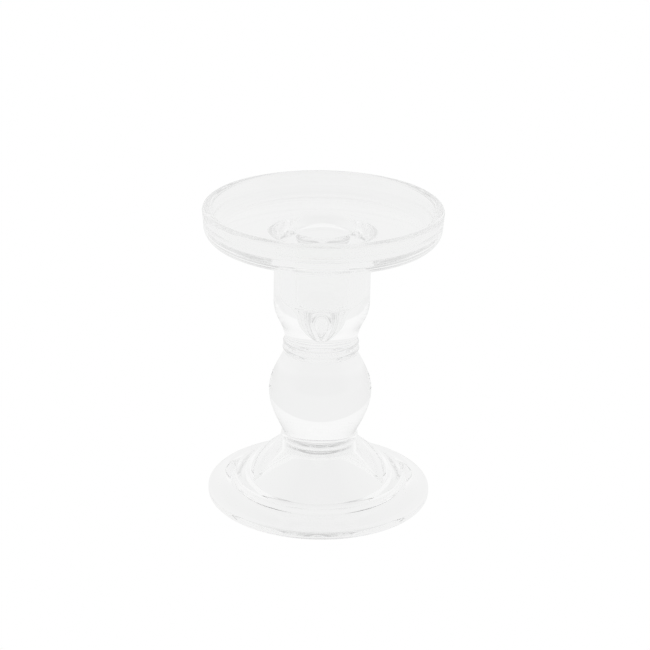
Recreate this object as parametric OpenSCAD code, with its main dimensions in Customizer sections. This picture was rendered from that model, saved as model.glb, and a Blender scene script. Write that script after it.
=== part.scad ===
// Footed glass candlestick: a round candle plate on a turned stem and a stepped, hollow foot.
// One end takes a dinner candle in the socket, or a pillar candle standing on the plate.
// Millimetres, +Z up. Origin on the axis, in the plane the foot stands on.

/* [Overall] */
// Height from the table to the top of the plate rim
total_h = 130; // [110:1:156]
// Diameter across the plate rim
plate_d = 100; // [84:1:120]
// Diameter across the foot
foot_d = 95.2; // [80:0.2:114]

/* [Candle socket] */
// Diameter of the dinner candle the socket is made for
candle_d = 22; // [18.5:0.1:26]
// Clearance all round between the candle and the socket wall
candle_gap = 0.3; // [0.1:0.05:0.5]
// Soft rounding where the socket opens into the plate floor, as a share of the floor thickness
mouth_share = 0.76; // [0.4:0.02:0.86]
// Glass left under the point of the socket
socket_floor = 2.5; // [1.5:0.1:4]

/* [Candle plate] */
// Height of the plate from its underside to the rim
plate_h = 14; // [12:0.5:17]
// Thickness of the plate floor
plate_floor = 5; // [3.5:0.1:6]
// Thickness of the rim, which has a flattened round on top
rim_t = 4; // [3:0.1:5]
// Outer corner under the rim
plate_corner_r = 6.2; // [5:0.1:8]
// Inner corner between plate floor and rim
plate_inner_r = 4.2; // [3:0.1:5.5]
// How far the rim leans out over the corner
rim_lean = 0.5; // [0:0.1:1.5]

/* [Stem] */
// Diameter of the cup around the socket
cup_d = 40.4; // [34:0.2:48]
// Widest diameter of the ball
ball_d = 43.6; // [36.4:0.2:52]
// Waist diameter between cup and ball
waist_d = 30.6; // [26:0.2:32]
// Share of the plain stem height taken by the ball
ball_share = 0.455; // [0.4:0.005:0.52]
// Flare where the cup meets the plate
cup_flare = 3; // [1:0.1:5]
// Height of the ringed collar between cup and ball
top_collar_h = 5.5; // [4.6:0.1:6.6]
// Height of the collar between ball and foot
base_collar_h = 3; // [2.5:0.1:3.6]
// How far the collars stand proud of the waist
collar_proud = 0.9; // [0.5:0.1:1.3]

/* [Foot] */
// Height of the foot up to the lower collar
foot_h = 25.8; // [21.6:0.2:31]
// Thickness of the foot at its rim
foot_rim_t = 4.4; // [3.7:0.1:5.2]
// Height of the step up from the flange to the dome
step_h = 4.7; // [3.9:0.1:5.6]
// Depth of the shallow recess inside the standing ring
ring_recess = 0.9; // [0.5:0.1:1.2]
// Height of the hollow under the foot, as a share of the foot height
hollow_share = 0.82; // [0.68:0.01:0.86]

/* [Hidden] */
$fn = 96;
glass = [0.86, 0.91, 0.9, 0.45];
curve_steps = 18;
corner_steps = 8;
overlap = 0.01;

plate_r = plate_d / 2;
foot_r = foot_d / 2;
bore_r = candle_d / 2 + candle_gap;
cup_r = cup_d / 2;
ball_r = ball_d / 2;
waist_r = waist_d / 2;
collar_r = waist_r + collar_proud;

// Levels along the axis, from the table up
foot_top = foot_h;
ball_bottom = foot_top + base_collar_h;
plate_bottom = total_h - plate_h;
stem_h = plate_bottom - top_collar_h - ball_bottom;
ball_top = ball_bottom + stem_h * ball_share;
cup_bottom = ball_top + top_collar_h;
cup_h = plate_bottom - cup_bottom;
plate_top = plate_bottom + plate_floor;
mouth_r = plate_floor * mouth_share;
rim_half = rim_t / 2;
rim_crown = rim_t * 0.375;

// Socket: straight bore, rounded shoulder, then a cone down to a small rounded point
socket_tip = cup_bottom + socket_floor;
tip_r = bore_r * 0.22;
shoulder_r = bore_r * 0.31;
cone_top_r = bore_r - shoulder_r;
cone_top = socket_tip + bore_r * 1.15;
bore_bottom = cone_top + shoulder_r;

// Ball: fullest a little below its middle
ball_belly = ball_bottom + (ball_top - ball_bottom) * 0.52;
belly_power = 1.1;
// Cup: S curve from the waist to the full cup over this height
cup_swell_h = cup_h * 0.37;

// Foot: rings of the stepped top and of the hollow underside
rim_round = foot_rim_t * 0.36;
bead_r = foot_r * 0.872;
bead_step = 0.35;
flange_z = foot_rim_t + 1.1;
step_r = foot_r * 0.757;
step_low_fillet = step_h * 0.45;
step_fillet = step_h * 0.3;
dome_edge_r = step_r - step_fillet * 0.9;
dome_edge_z = flange_z + step_h;
dome_power = 1.08;
ring_in_r = foot_r * 0.885;
// Hollow: a bell with a flat crown, straight sides and a short upright wall, its corners eased
hollow_r = foot_r * 0.574;
hollow_wall_z = foot_h * 0.19;
hollow_top = foot_h * hollow_share;
hollow_flat_r = foot_r * 0.25;
crown_round = hollow_flat_r * 0.6;
hollow_slope = atan((hollow_top - hollow_wall_z) / (hollow_r - hollow_flat_r));
crown_reach = crown_round * tan(hollow_slope / 2);
wall_back = step_fillet * tan((90 - hollow_slope) / 2);

// Points on an arc about [x, z], angles in degrees, both ends included
function arc(x, z, r, from, to, steps) =
    [for (i = [0 : steps]) let (a = from + (to - from) * i / steps)
        [x + r * cos(a), z + r * sin(a)]];

// Points over the top half of an oval about [x, z], from its outer side to its inner side
function oval(x, z, wide, high, steps) =
    [for (i = [0 : steps]) let (a = 180 * i / steps) [x + wide * cos(a), z + high * sin(a)]];

// Radius of the ball at a height: waist plus a swelling that dies out at both ends
function ball_radius(z) =
    let (reach = z > ball_belly ? ball_top - ball_belly : ball_belly - ball_bottom,
         c = max(0, cos(90 * abs(z - ball_belly) / reach)))
    waist_r + (ball_r - waist_r) * pow(c, belly_power);

// Radius of the cup at a height above its foot
function cup_radius(h) =
    h >= cup_swell_h ? cup_r
    : waist_r + (cup_r - waist_r) * (1 - cos(180 * h / cup_swell_h)) / 2;

// Height of the domed top of the foot at a radius
function dome_z(r) =
    dome_edge_z + (foot_top - dome_edge_z)
        * pow((dome_edge_r - r) / (dome_edge_r - waist_r), dome_power);

module plate() {
    rim_in = plate_r - rim_t;
    corner_x = plate_r - rim_lean - plate_corner_r;
    inner_x = rim_in - plate_inner_r - rim_lean * 0.3;
    color(glass)
    rotate_extrude()
    polygon(concat(
        [[bore_r, plate_bottom]],
        arc(corner_x, plate_bottom + plate_corner_r, plate_corner_r, 270, 360, corner_steps),
        oval(plate_r - rim_half, total_h - rim_crown, rim_half, rim_crown, 2 * corner_steps),
        arc(inner_x, plate_top + plate_inner_r, plate_inner_r, 360, 270, corner_steps),
        arc(bore_r + mouth_r, plate_top - mouth_r, mouth_r, 90, 180, corner_steps)
    ));
}

module cup() {
    color(glass)
    difference() {
        rotate_extrude()
        polygon(concat(
            [[0, cup_bottom]],
            [for (i = [0 : curve_steps]) let (h = cup_swell_h * i / curve_steps)
                [cup_radius(h), cup_bottom + h]],
            arc(cup_r + cup_flare, plate_bottom - cup_flare, cup_flare, 180, 90, corner_steps),
            [[0, plate_bottom]]
        ));
        translate([0, 0, bore_bottom])
            cylinder(r = bore_r, h = plate_bottom - bore_bottom + overlap);
        rotate_extrude()
        polygon(concat(
            [[0, bore_bottom + overlap], [bore_r, bore_bottom + overlap]],
            arc(cone_top_r, bore_bottom, shoulder_r, 0, -75, corner_steps),
            arc(0, socket_tip + tip_r, tip_r, -35, -90, corner_steps)
        ));
    }
}

module top_collar() {
    low_r = top_collar_h * 0.29;
    high_r = top_collar_h * 0.21;
    color(glass)
    rotate_extrude()
    union() {
        translate([0, ball_top]) square([waist_r, top_collar_h]);
        translate([collar_r - low_r, ball_top + low_r]) circle(r = low_r);
        translate([collar_r - high_r - collar_proud / 5, cup_bottom - high_r]) circle(r = high_r);
    }
}

module ball() {
    color(glass)
    rotate_extrude()
    polygon(concat(
        [[0, ball_bottom]],
        [for (i = [0 : 2 * curve_steps])
            let (z = ball_bottom + (ball_top - ball_bottom) * i / (2 * curve_steps))
            [ball_radius(z), z]],
        [[0, ball_top]]
    ));
}

module base_collar() {
    edge_r = base_collar_h / 2;
    color(glass)
    rotate_extrude()
    union() {
        translate([0, foot_top]) square([collar_r - edge_r + collar_proud / 3, base_collar_h]);
        translate([collar_r - edge_r + collar_proud / 3, foot_top + edge_r]) circle(r = edge_r);
    }
}

module foot() {
    color(glass)
    rotate_extrude()
    polygon(concat(
        [[0, hollow_top]],
        arc(hollow_flat_r - crown_reach, hollow_top - crown_round, crown_round, 90, 90 - hollow_slope,
            corner_steps),
        arc(hollow_r - step_fillet, hollow_wall_z - wall_back, step_fillet, 90 - hollow_slope, 0,
            corner_steps),
        [[hollow_r, ring_recess], [ring_in_r - ring_recess, ring_recess], [ring_in_r, 0]],
        arc(foot_r - rim_round, rim_round, rim_round, 270, 360, corner_steps),
        arc(foot_r - rim_round, foot_rim_t - rim_round, rim_round, 0, 75, corner_steps),
        [[bead_r + bead_step, flange_z - bead_step], [bead_r, flange_z]],
        arc(step_r + step_low_fillet, flange_z + step_low_fillet, step_low_fillet, 270, 180, corner_steps),
        arc(step_r - step_fillet, dome_edge_z - step_fillet, step_fillet, 0, 55, corner_steps),
        [for (i = [1 : curve_steps]) let (r = dome_edge_r + (waist_r - dome_edge_r) * i / curve_steps)
            [r, dome_z(r)]],
        [[0, foot_top]]
    ));
}

plate();
cup();
top_collar();
ball();
base_collar();
foot();
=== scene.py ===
import bpy, math
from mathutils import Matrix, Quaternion, Vector


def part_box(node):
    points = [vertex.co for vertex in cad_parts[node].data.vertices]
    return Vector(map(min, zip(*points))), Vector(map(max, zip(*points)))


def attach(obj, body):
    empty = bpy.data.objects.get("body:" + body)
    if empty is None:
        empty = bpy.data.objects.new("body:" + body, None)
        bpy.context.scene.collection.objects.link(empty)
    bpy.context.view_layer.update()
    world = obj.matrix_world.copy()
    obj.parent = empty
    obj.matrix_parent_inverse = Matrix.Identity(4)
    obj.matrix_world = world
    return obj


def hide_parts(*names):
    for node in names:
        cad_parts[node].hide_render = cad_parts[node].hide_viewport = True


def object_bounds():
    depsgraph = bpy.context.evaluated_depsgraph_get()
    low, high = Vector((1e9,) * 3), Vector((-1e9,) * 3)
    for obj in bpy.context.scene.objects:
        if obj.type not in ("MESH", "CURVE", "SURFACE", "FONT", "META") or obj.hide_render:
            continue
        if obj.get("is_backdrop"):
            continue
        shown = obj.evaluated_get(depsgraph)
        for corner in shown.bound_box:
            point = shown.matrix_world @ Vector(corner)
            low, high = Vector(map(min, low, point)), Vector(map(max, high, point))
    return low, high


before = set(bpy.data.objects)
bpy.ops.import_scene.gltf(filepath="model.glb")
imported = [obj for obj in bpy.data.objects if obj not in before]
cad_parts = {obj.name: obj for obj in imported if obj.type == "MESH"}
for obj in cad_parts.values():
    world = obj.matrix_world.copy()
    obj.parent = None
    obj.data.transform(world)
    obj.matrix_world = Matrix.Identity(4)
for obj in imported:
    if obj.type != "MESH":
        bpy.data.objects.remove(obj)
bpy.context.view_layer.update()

mm = 0.001
print("frame loaded:", ", ".join(sorted(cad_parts)))


# making turned glass

def clearSelection():
    if bpy.context.object and bpy.context.object.mode != "OBJECT":
        bpy.ops.object.mode_set(mode="OBJECT")
    bpy.ops.object.select_all(action="DESELECT")


def levels(node):  # low, high and radius of a CAD node, in mm
    low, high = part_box(node)
    return low.z / mm, high.z / mm, max(high.x - low.x, high.y - low.y) / 2 / mm


def arcPoints(x, z, radius, start, end, steps):
    out = []
    for i in range(steps + 1):
        a = math.radians(start + (end - start) * i / steps)
        out.append((x + radius * math.cos(a), z + radius * math.sin(a)))
    return out


def drawOutline(name, outline):
    # one vertex, extruded from point to point down the half section
    clearSelection()
    r0, z0 = outline[0]
    bpy.ops.mesh.primitive_plane_add(size=mm, location=(r0 * mm, 0, z0 * mm))
    piece = bpy.context.object
    piece.name = name
    piece.data.name = name
    bpy.ops.object.transform_apply(location=True, rotation=True, scale=True)
    bpy.ops.object.mode_set(mode="EDIT")
    bpy.ops.mesh.select_all(action="SELECT")
    bpy.ops.mesh.merge(type="CENTER")
    for (r1, z1), (r2, z2) in zip(outline[:-1], outline[1:]):
        step = ((r2 - r1) * mm, 0, (z2 - z1) * mm)
        bpy.ops.mesh.extrude_region_move(TRANSFORM_OT_translate={"value": step})
    bpy.ops.object.mode_set(mode="OBJECT")
    return piece


def spinOutline(piece, turns):
    # the section goes once round the axis, then poles and seam are welded
    clearSelection()
    bpy.context.view_layer.objects.active = piece
    piece.select_set(True)
    bpy.ops.object.mode_set(mode="EDIT")
    bpy.ops.mesh.select_all(action="SELECT")
    bpy.ops.mesh.spin(steps=turns, angle=math.radians(360), center=(0, 0, 0), axis=(0, 0, 1))
    bpy.ops.mesh.select_all(action="SELECT")
    bpy.ops.mesh.remove_doubles(threshold=0.002 * mm)
    bpy.ops.mesh.normals_make_consistent(inside=False)
    bpy.ops.object.mode_set(mode="OBJECT")
    bpy.ops.object.shade_smooth_by_angle(angle=math.radians(50))
    return piece


def markJoints(piece, heights, glass, reach=1000.0):
    # the flat faces where two sections are fused get the joint material, out to a radius in mm
    piece.data.materials.append(glass)
    piece.data.materials.append(fusedJoint)
    for face in piece.data.polygons:
        flat = abs(face.normal.z) > 0.999 and math.hypot(face.center.x, face.center.y) / mm < reach
        level = any(abs(face.center.z / mm - h) < 0.01 for h in heights)
        face.material_index = 1 if flat and level else 0


def finishPiece(piece, node):
    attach(piece, "root")
    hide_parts(node)
    print("made", piece.name, len(piece.data.polygons), "faces")


turns = 160
plateLow, plateHigh, plateRad = levels("plate")
cupLow, cupHigh, _ = levels("cup")
ringLow, ringHigh, _ = levels("top_collar")
ballLow, ballHigh, ballRad = levels("ball")
baseLow, baseHigh, baseRad = levels("base_collar")
_, footHigh, footRad = levels("foot")


# shader groups shared by the glass materials

def newGroup(name, inputs, outputs):
    group = bpy.data.node_groups.new(name, "ShaderNodeTree")
    for label, kind, value in inputs:
        socket = group.interface.new_socket(name=label, in_out="INPUT", socket_type=kind)
        if value is not None:
            socket.default_value = value
    for label, kind in outputs:
        group.interface.new_socket(name=label, in_out="OUTPUT", socket_type=kind)
    return group, group.nodes.new("NodeGroupInput"), group.nodes.new("NodeGroupOutput")


def mathNode(tree, kind, a, b=None, c=None):
    node = tree.nodes.new("ShaderNodeMath")
    node.operation = kind
    for i, value in enumerate((a, b, c)):
        if value is None:
            continue
        if isinstance(value, (int, float)):
            node.inputs[i].default_value = value
        else:
            tree.links.new(value, node.inputs[i])
    return node.outputs[0]


def makeRipple():
    # slow waves left by pressing, with a faint seam where the two mould halves met
    group, gin, gout = newGroup("glassRipple",
        [("Vector", "NodeSocketVector", None), ("Wave Size", "NodeSocketFloat", 60.0),
         ("Wave Height", "NodeSocketFloat", 1.0), ("Fine Height", "NodeSocketFloat", 0.15),
         ("Seam Height", "NodeSocketFloat", 0.3), ("Seam Width", "NodeSocketFloat", 0.0004)],
        [("Height", "NodeSocketFloat"), ("Seam", "NodeSocketFloat")])
    links = group.links
    slow = group.nodes.new("ShaderNodeTexNoise")
    slow.inputs["Detail"].default_value = 1.0
    links.new(gin.outputs["Vector"], slow.inputs["Vector"])
    links.new(gin.outputs["Wave Size"], slow.inputs["Scale"])
    fine = group.nodes.new("ShaderNodeTexNoise")
    fine.inputs["Detail"].default_value = 2.0
    links.new(gin.outputs["Vector"], fine.inputs["Vector"])
    links.new(mathNode(group, "MULTIPLY", gin.outputs["Wave Size"], 4.5), fine.inputs["Scale"])
    split = group.nodes.new("ShaderNodeSeparateXYZ")
    links.new(gin.outputs["Vector"], split.inputs[0])
    across = mathNode(group, "ABSOLUTE", mathNode(group, "ADD",
        mathNode(group, "MULTIPLY", split.outputs["X"], 0.82),
        mathNode(group, "MULTIPLY", split.outputs["Y"], 0.57)))
    away = mathNode(group, "DIVIDE", across, gin.outputs["Seam Width"])
    seam = mathNode(group, "MAXIMUM", mathNode(group, "SUBTRACT", 1.0, away), 0.0)
    a = mathNode(group, "MULTIPLY", slow.outputs["Fac"], gin.outputs["Wave Height"])
    b = mathNode(group, "MULTIPLY", fine.outputs["Fac"], gin.outputs["Fine Height"])
    c = mathNode(group, "MULTIPLY", seam, gin.outputs["Seam Height"])
    links.new(mathNode(group, "ADD", mathNode(group, "ADD", a, b), c), gout.inputs["Height"])
    links.new(seam, gout.inputs["Seam"])
    return group


def makeHandling():
    # wiping marks, specks of dust and the ground ring the foot stands on
    group, gin, gout = newGroup("handlingMarks",
        [("Vector", "NodeSocketVector", None), ("Clean", "NodeSocketFloat", 0.0),
         ("Smear", "NodeSocketFloat", 0.02), ("Speck", "NodeSocketFloat", 0.15),
         ("Ground", "NodeSocketFloat", 0.0), ("Ground Height", "NodeSocketFloat", 0.00025)],
        [("Roughness", "NodeSocketFloat")])
    links = group.links
    smear = group.nodes.new("ShaderNodeTexNoise")
    smear.inputs["Scale"].default_value = 35.0
    smear.inputs["Detail"].default_value = 3.0
    links.new(gin.outputs["Vector"], smear.inputs["Vector"])
    worn = mathNode(group, "MAXIMUM", mathNode(group, "MULTIPLY_ADD", smear.outputs["Fac"], 4.0, -2.2), 0.0)
    dust = group.nodes.new("ShaderNodeTexVoronoi")
    dust.inputs["Scale"].default_value = 260.0
    links.new(gin.outputs["Vector"], dust.inputs["Vector"])
    pick = group.nodes.new("ShaderNodeSeparateColor")
    links.new(dust.outputs["Color"], pick.inputs[0])
    speck = mathNode(group, "MULTIPLY", mathNode(group, "LESS_THAN", dust.outputs["Distance"], 0.05),
                     mathNode(group, "GREATER_THAN", pick.outputs[0], 0.93))
    split = group.nodes.new("ShaderNodeSeparateXYZ")
    links.new(gin.outputs["Vector"], split.inputs[0])
    low = mathNode(group, "LESS_THAN", split.outputs["Z"], gin.outputs["Ground Height"])
    total = mathNode(group, "MULTIPLY_ADD", worn, gin.outputs["Smear"], gin.outputs["Clean"])
    total = mathNode(group, "ADD", total, mathNode(group, "MULTIPLY", speck, gin.outputs["Speck"]))
    total = mathNode(group, "ADD", total, mathNode(group, "MULTIPLY", low, gin.outputs["Ground"]))
    links.new(mathNode(group, "MINIMUM", total, 1.0), gout.inputs["Roughness"])
    return group


def makeBodyColour():
    # clear metal with a trace of smoke in random cords
    group, gin, gout = newGroup("glassBody",
        [("Vector", "NodeSocketVector", None), ("Clear", "NodeSocketColor", (1, 1, 1, 1)),
         ("Smoke", "NodeSocketColor", (0.97, 0.975, 0.97, 1)), ("Cord Size", "NodeSocketFloat", 25.0)],
        [("Color", "NodeSocketColor")])
    links = group.links
    cord = group.nodes.new("ShaderNodeTexNoise")
    cord.inputs["Detail"].default_value = 2.0
    links.new(gin.outputs["Vector"], cord.inputs["Vector"])
    links.new(gin.outputs["Cord Size"], cord.inputs["Scale"])
    mix = group.nodes.new("ShaderNodeMix")
    mix.data_type = "RGBA"
    links.new(cord.outputs["Fac"], mix.inputs["Factor"])
    links.new(gin.outputs["Clear"], mix.inputs["A"])
    links.new(gin.outputs["Smoke"], mix.inputs["B"])
    links.new(mix.outputs["Result"], gout.inputs["Color"])
    return group


ripple, handling, bodyColour = makeRipple(), makeHandling(), makeBodyColour()
print("shader groups ready")


def glassMaterial(name, waveSize=60.0, waveHeight=1.0, fineHeight=0.1, seamHeight=0.2, bump=0.00002,
                  smear=0.01, speck=0.1, ground=0.0, clear=(0.995, 0.998, 0.996, 1),
                  smoke=(0.985, 0.985, 0.983, 1)):
    material = bpy.data.materials.new(name)
    material.use_nodes = True
    tree = material.node_tree
    shader = tree.nodes["Principled BSDF"]
    shader.inputs["Transmission Weight"].default_value = 1.0
    shader.inputs["IOR"].default_value = 1.52
    place = tree.nodes.new("ShaderNodeTexCoord")

    def use(group, **values):
        node = tree.nodes.new("ShaderNodeGroup")
        node.node_tree = group
        tree.links.new(place.outputs["Object"], node.inputs["Vector"])
        for label, value in values.items():
            node.inputs[label.replace("_", " ")].default_value = value
        return node

    waves = use(ripple, Wave_Size=waveSize, Wave_Height=waveHeight, Fine_Height=fineHeight,
                Seam_Height=seamHeight)
    marks = use(handling, Smear=smear, Speck=speck, Ground=ground)
    colour = use(bodyColour, Clear=clear, Smoke=smoke)
    bumpNode = tree.nodes.new("ShaderNodeBump")
    bumpNode.inputs["Strength"].default_value = 1.0
    bumpNode.inputs["Distance"].default_value = bump
    tree.links.new(waves.outputs["Height"], bumpNode.inputs["Height"])
    tree.links.new(bumpNode.outputs["Normal"], shader.inputs["Normal"])
    tree.links.new(marks.outputs["Roughness"], shader.inputs["Roughness"])
    tree.links.new(colour.outputs["Color"], shader.inputs["Base Color"])
    return material


def jointMaterial():
    # inside a fused joint there is no surface, so light passes straight on
    material = bpy.data.materials.new("fusedJoint")
    material.use_nodes = True
    tree = material.node_tree
    tree.nodes.remove(tree.nodes["Principled BSDF"])
    clearNode = tree.nodes.new("ShaderNodeBsdfTransparent")
    tree.links.new(clearNode.outputs[0], tree.nodes["Material Output"].inputs["Surface"])
    return material


fusedJoint = jointMaterial()


# candle plate

plateSet = {
    "boreRadius": 11.3, "floorThick": 5.0, "rimThick": 4.0, "crown": 0.375, "mouthRound": 3.8,
    "underRound": 6.2, "innerRound": 4.2, "lean": 0.5, "innerLean": 0.15, "flare": 3.0, "cupRadius": 20.2,
}


def makePlate(s):
    rimIn = plateRad - s["rimThick"]
    cornerX = plateRad - s["lean"] - s["underRound"]
    innerX = rimIn - s["innerRound"] - s["innerLean"]
    floorZ = plateLow + s["floorThick"]
    half, crown = s["rimThick"] / 2, s["rimThick"] * s["crown"]
    neck = s["cupRadius"] + s["flare"]
    outline = [(s["boreRadius"], plateLow)]
    outline += [(neck, plateLow), (neck + 4, plateLow), (neck + 12, plateLow)]
    outline += arcPoints(cornerX, plateLow + s["underRound"], s["underRound"], 270, 360, 16)
    top = arcPoints(0, 0, 1, 0, 180, 20)
    outline += [(plateRad - half + half * x, plateHigh - crown + crown * z) for x, z in top]
    outline += arcPoints(innerX, floorZ + s["innerRound"], s["innerRound"], 360, 270, 14)
    outline += [(32, floorZ), (24, floorZ), (17, floorZ)]
    mouth = s["mouthRound"]
    outline += arcPoints(s["boreRadius"] + mouth, floorZ - mouth, mouth, 90, 180, 8)
    outline += [(s["boreRadius"], plateLow)]
    piece = spinOutline(drawOutline("candlePlate", outline), turns)
    markJoints(piece, [plateLow], glassMaterial("plateGlass", waveSize=45.0), neck)
    finishPiece(piece, "plate")


makePlate(plateSet)


# cup with the candle socket

cupSet = {"cupRadius": 20.2, "waist": 15.3, "swell": 0.37, "flare": 3.0,
          "boreRadius": 11.3, "floor": 2.5, "tip": 0.22, "cone": 1.15, "shoulder": 0.31}


def makeCup(s):
    tall = cupHigh - cupLow
    swell = tall * s["swell"]
    outline = [(0, cupLow), (s["waist"] * 0.5, cupLow)]
    for i in range(31):
        h = swell * i / 30
        r = s["waist"] + (s["cupRadius"] - s["waist"]) * (1 - math.cos(math.pi * i / 30)) / 2
        outline.append((r, cupLow + h))
    outline += [(s["cupRadius"], cupLow + swell + (tall - s["flare"] - swell) * i / 6) for i in range(1, 6)]
    outline += arcPoints(s["cupRadius"] + s["flare"], cupHigh - s["flare"], s["flare"], 180, 90, 8)
    bore = s["boreRadius"]
    tip = bore * s["tip"]
    tipZ = cupLow + s["floor"]
    shoulder = bore * s["shoulder"]
    coneTop = tipZ + bore * s["cone"]
    outline += [(16, cupHigh), (bore, cupHigh)]
    boreLow = coneTop + shoulder
    outline += [(bore, cupHigh + (boreLow - cupHigh) * i / 8) for i in range(1, 8)]
    outline += arcPoints(bore - shoulder, boreLow, shoulder, 0, -75, 12)
    outline += arcPoints(0, tipZ + tip, tip, -35, -90, 8)
    outline[-1] = (0, tipZ)
    piece = spinOutline(drawOutline("socketCup", outline), turns)
    markJoints(piece, [cupLow, cupHigh], glassMaterial("cupGlass", waveSize=55.0))
    finishPiece(piece, "cup")


makeCup(cupSet)


# ringed collar under the cup

collarSet = {"waist": 15.3, "proud": 0.9, "lowRound": 0.29, "highRound": 0.21}


def makeCollar(s):
    tall = ringHigh - ringLow
    low, high = tall * s["lowRound"], tall * s["highRound"]
    lowX = s["waist"] + s["proud"] - low
    highX = s["waist"] + s["proud"] * 0.8 - high
    dip = math.degrees(math.acos(min(1, (s["waist"] - lowX) / low)))
    dip2 = math.degrees(math.acos(min(1, (s["waist"] - highX) / high)))
    outline = [(0, ringLow), (s["waist"], ringLow)]
    outline += arcPoints(lowX, ringLow + low, low, -dip, dip, 18)
    outline += arcPoints(highX, ringHigh - high, high, -dip2, dip2, 14)
    outline += [(s["waist"], ringHigh), (0, ringHigh)]
    piece = spinOutline(drawOutline("waistCollar", outline), turns)
    markJoints(piece, [ringLow, ringHigh], glassMaterial("collarGlass", waveSize=90.0))
    finishPiece(piece, "top_collar")


makeCollar(collarSet)


# ball

ballSet = {"waist": 15.3, "belly": 0.52, "power": 1.1, "rings": 64}


def makeBall(s):
    tall = ballHigh - ballLow
    bellyZ = ballLow + tall * s["belly"]
    outline = [(0, ballLow), (8, ballLow)]
    for i in range(s["rings"] + 1):
        z = ballLow + tall * i / s["rings"]
        reach = ballHigh - bellyZ if z > bellyZ else bellyZ - ballLow
        c = max(0.0, math.cos(math.pi / 2 * abs(z - bellyZ) / reach))
        outline.append((s["waist"] + (ballRad - s["waist"]) * c ** s["power"], z))
    outline += [(8, ballHigh), (0, ballHigh)]
    piece = spinOutline(drawOutline("stemBall", outline), turns)
    markJoints(piece, [ballLow, ballHigh], glassMaterial("ballGlass", waveSize=35.0))
    finishPiece(piece, "ball")


makeBall(ballSet)


# collar over the foot

baseSet = {"waist": 15.3}


def makeBaseCollar(s):
    edge = (baseHigh - baseLow) / 2
    centreX = baseRad - edge
    dip = math.degrees(math.acos(min(1, (s["waist"] - centreX) / edge)))
    outline = [(0, baseLow), (s["waist"], baseLow)]
    outline += arcPoints(centreX, baseLow + edge, edge, -dip, dip, 18)
    outline += [(s["waist"], baseHigh), (0, baseHigh)]
    piece = spinOutline(drawOutline("footCollar", outline), turns)
    markJoints(piece, [baseLow, baseHigh], glassMaterial("footCollarGlass", waveSize=90.0))
    finishPiece(piece, "base_collar")


makeBaseCollar(baseSet)


# stepped foot

footSet = {
    "rimThick": 4.4, "stepHeight": 4.7, "lowFillet": 0.45, "highFillet": 0.3, "recess": 0.9,
    "waist": 15.3, "bead": 0.872, "step": 0.757, "power": 1.08, "ringIn": 0.885,
    "hollow": 0.82, "hollowRadius": 0.574, "wall": 0.19, "flat": 0.25, "bell": 1.0,
}


def bellPoints(flatR, top, hollowR, wallZ, power, fillet):
    # down the inside of the hollow, its two corners eased
    points = []
    for i in range(41):
        u = i / 40
        points.append((flatR + (hollowR - flatR) * u, wallZ + (top - wallZ) * (1 - u) ** power))
    slope = math.atan2(points[0][1] - points[3][1], points[3][0] - points[0][0])
    ease = flatR * 0.6
    reach = ease * math.tan(slope / 2)
    points = [p for p in points if p[0] > flatR + reach * math.cos(slope)]
    crown = [(flatR - reach + ease * math.sin(slope * k / 8), top - ease * (1 - math.cos(slope * k / 8)))
             for k in range(9)]
    low = math.atan2(points[-4][1] - points[-1][1], points[-1][0] - points[-4][0])
    back = fillet * math.tan((math.pi / 2 - low) / 2)
    points = [p for p in points if p[0] < hollowR - back * math.cos(low)]
    corner = arcPoints(hollowR - fillet, wallZ - back, fillet, 90 - math.degrees(low), 0, 8)
    return crown + points + corner


def makeFoot(s):
    rimRound = s["rimThick"] * 0.36
    beadR, stepR = footRad * s["bead"], footRad * s["step"]
    flangeZ = s["rimThick"] + 1.1
    lowFillet, fillet = s["stepHeight"] * s["lowFillet"], s["stepHeight"] * s["highFillet"]
    edgeR, edgeZ = stepR - fillet * 0.9, flangeZ + s["stepHeight"]
    ringIn, hollowR = footRad * s["ringIn"], footRad * s["hollowRadius"]
    wallZ, top = footHigh * s["wall"], footHigh * s["hollow"]
    flatR = footRad * s["flat"]
    outline = [(0, top), (flatR * 0.4, top)] + bellPoints(flatR, top, hollowR, wallZ, s["bell"], fillet)
    outline += [(hollowR, s["recess"] + 0.4), (hollowR + 0.4, s["recess"])]
    outline += [(ringIn - s["recess"], s["recess"]), (ringIn, 0)]
    outline += arcPoints(footRad - rimRound, rimRound, rimRound, 270, 360, 12)
    outline += arcPoints(footRad - rimRound, s["rimThick"] - rimRound, rimRound, 0, 75, 12)
    outline += [(beadR + 0.35, flangeZ - 0.35), (beadR, flangeZ)]
    outline += arcPoints(stepR + lowFillet, flangeZ + lowFillet, lowFillet, 270, 180, 10)
    outline += arcPoints(stepR - fillet, edgeZ - fillet, fillet, 0, 55, 8)
    for i in range(1, 41):
        r = edgeR + (s["waist"] - edgeR) * i / 40
        outline.append((r, edgeZ + (footHigh - edgeZ) * ((edgeR - r) / (edgeR - s["waist"])) ** s["power"]))
    outline += [(8, footHigh), (0, footHigh)]
    piece = spinOutline(drawOutline("steppedFoot", outline), turns)
    markJoints(piece, [footHigh], glassMaterial("footGlass", waveSize=40.0, ground=0.06))
    finishPiece(piece, "foot")


makeFoot(footSet)


# stage: an even pale floor and a smooth light tent

# brightness to the camera, and to the rays that pass through the glass or bounce off it
floorSet = {"size": 6.0, "seen": 1.0, "lit": 0.9}

# frontTurn is a compass angle with 0 behind the object and 90 to its right, then a half width and a
# softness, all in degrees; each rise is the height in degrees where a change starts and ends
tentSet = {"seen": 1.0, "low": 0.97, "sides": 0.8, "roof": 0.5, "front": 0.6, "sideRise": (5, 45),
           "roofRise": (42, 80), "frontTurn": (180, 45, 40), "frontRise": (2, 14)}


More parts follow.
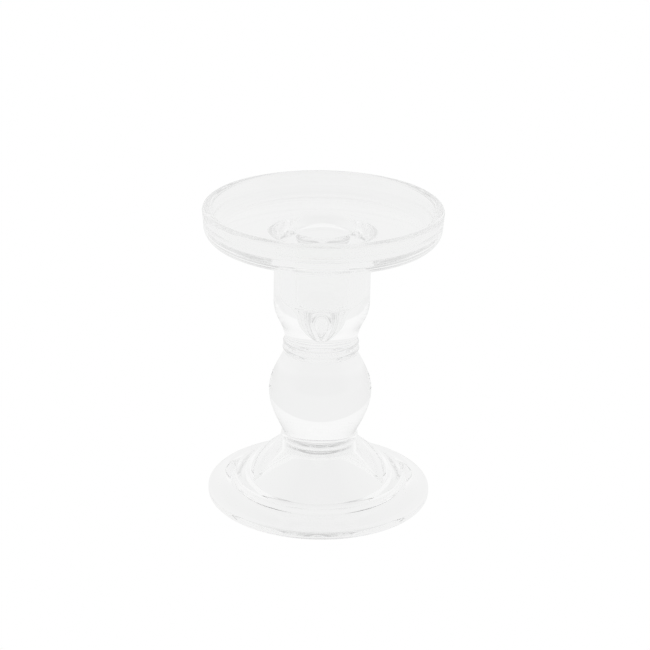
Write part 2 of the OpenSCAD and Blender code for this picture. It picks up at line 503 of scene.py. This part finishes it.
def rampBetween(tree, value, fromMin, fromMax, toMin, toMax):
    step = tree.nodes.new("ShaderNodeMapRange")
    step.interpolation_type = "SMOOTHSTEP"
    ends = {"From Min": fromMin, "From Max": fromMax, "To Min": toMin, "To Max": toMax}
    for label, number in ends.items():
        step.inputs[label].default_value = number
    tree.links.new(value, step.inputs["Value"])
    return step.outputs[0]


def bandMask(tree, value, centre, half, soft):  # 1 within half of the centre, falling to 0 over soft
    away = mathNode(tree, "ABSOLUTE", mathNode(tree, "SUBTRACT", value, centre))
    return rampBetween(tree, away, half, half + soft, 1.0, 0.0)


def blendTo(tree, base, value, mask):  # base where the mask is 0, value where it is 1
    mix = tree.nodes.new("ShaderNodeMix")
    mix.data_type = "FLOAT"
    for socket, part in ((mix.inputs[0], mask), (mix.inputs[2], base), (mix.inputs[3], value)):
        if isinstance(part, (int, float)):
            socket.default_value = part
        else:
            tree.links.new(part, socket)
    return mix.outputs[0]


def makeFloor(s):
    clearSelection()
    bpy.ops.mesh.primitive_plane_add(size=s["size"], location=(0, 0, 0))
    floor = bpy.context.object
    floor.name = "paleFloor"
    material = bpy.data.materials.new("paleSweep")
    material.use_nodes = True
    tree = material.node_tree
    tree.nodes.remove(tree.nodes["Principled BSDF"])
    seen, lit = tree.nodes.new("ShaderNodeEmission"), tree.nodes.new("ShaderNodeEmission")
    path, mix = tree.nodes.new("ShaderNodeLightPath"), tree.nodes.new("ShaderNodeMixShader")
    seen.inputs["Strength"].default_value = s["seen"]
    lit.inputs["Strength"].default_value = s["lit"]
    tree.links.new(path.outputs["Is Camera Ray"], mix.inputs[0])
    tree.links.new(lit.outputs[0], mix.inputs[1])
    tree.links.new(seen.outputs[0], mix.inputs[2])
    tree.links.new(mix.outputs[0], tree.nodes["Material Output"].inputs["Surface"])
    floor.data.materials.append(material)
    floor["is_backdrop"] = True


makeFloor(floorSet)


def makeTent(s):
    world = bpy.data.worlds.new("lightTent")
    bpy.context.scene.world = world
    world.use_nodes = True
    tree = world.node_tree
    tree.nodes.clear()
    out, sky = tree.nodes.new("ShaderNodeOutputWorld"), tree.nodes.new("ShaderNodeBackground")
    place, split = tree.nodes.new("ShaderNodeTexCoord"), tree.nodes.new("ShaderNodeSeparateXYZ")
    tree.links.new(place.outputs["Generated"], split.inputs[0])
    turn = mathNode(tree, "DEGREES", mathNode(tree, "ARCTAN2", split.outputs["X"], split.outputs["Y"]))
    turn = mathNode(tree, "FLOORED_MODULO", turn, 360.0)
    rise = mathNode(tree, "DEGREES", mathNode(tree, "ARCSINE", split.outputs["Z"]))
    level = rampBetween(tree, rise, *s["sideRise"], s["low"], s["sides"])
    level = blendTo(tree, level, s["roof"], rampBetween(tree, rise, *s["roofRise"], 0.0, 1.0))
    facing = mathNode(tree, "MULTIPLY", bandMask(tree, turn, *s["frontTurn"]),
                      rampBetween(tree, rise, *s["frontRise"], 0.0, 1.0))
    level = blendTo(tree, level, s["front"], facing)
    path = tree.nodes.new("ShaderNodeLightPath")
    level = blendTo(tree, level, s["seen"], path.outputs["Is Camera Ray"])
    sky.inputs["Color"].default_value = (1, 1, 1, 1)
    tree.links.new(level, sky.inputs["Strength"])
    tree.links.new(sky.outputs[0], out.inputs["Surface"])
    world.cycles.sampling_method = "NONE"


makeTent(tentSet)
print("stage ready")


# camera

cameraSet = {"distance": 0.894, "elevation": 21.73, "roll": 1.1, "lens": 117.7, "side": 0.00154,
             "height": 0.5937}


def makeCamera(s):
    low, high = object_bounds()
    tilt, roll = math.radians(s["elevation"]), math.radians(s["roll"])
    back = Vector((0, -math.cos(tilt), math.sin(tilt)))
    aim = Vector((s["side"], 0, low.z + (high.z - low.z) * s["height"]))
    clearSelection()
    bpy.ops.object.camera_add(location=aim + back * s["distance"])
    camera = bpy.context.object
    camera.rotation_mode = "QUATERNION"
    camera.rotation_quaternion = (-back).to_track_quat("-Z", "Y") @ Quaternion((0, 0, 1), roll)
    camera.data.sensor_width = 36
    camera.data.lens = s["lens"]
    camera.data.clip_start, camera.data.clip_end = 0.05, 20
    bpy.context.scene.camera = camera


makeCamera(cameraSet)

scene = bpy.context.scene
scene.view_settings.view_transform = "Standard"
scene.cycles.max_bounces = 64
scene.cycles.transmission_bounces = 64
scene.cycles.glossy_bounces = 64
scene.cycles.transparent_max_bounces = 32
